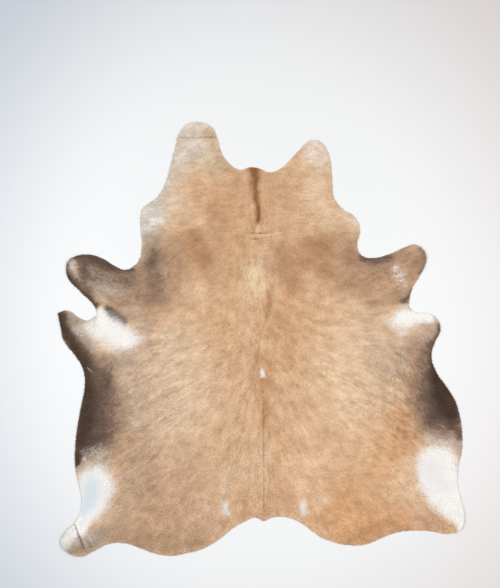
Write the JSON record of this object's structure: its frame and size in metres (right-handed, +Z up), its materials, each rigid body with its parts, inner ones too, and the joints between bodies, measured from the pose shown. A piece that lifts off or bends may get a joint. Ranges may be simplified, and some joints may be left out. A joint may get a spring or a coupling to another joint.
{
  "type": "cowhide rug",
  "caption": "Whole hair-on cow skin laid flat as a rug, with neck, fore shanks, hind shanks and tail root left on, tan coat with dark flanks and white patches.",
  "frame": {"origin": "middle of the skin's bounding box in X and Y, at the height of the surface it lies on", "axes": "+Z up off the flesh side towards the coat, +Y along the spine towards the neck, +X towards the right side of the skin seen from above with the neck away"},
  "size_m": [2.0289, 2.1663, 0.0152],
  "materials": {
    "hair_on_leather": "short flat-lying tan coat with dark brown flanks and white patches, soft sheen; pale suede flesh side"
  },
  "bodies": {
    "root": {"hide": "hair_on_leather"}
  },
  "joints": []
}
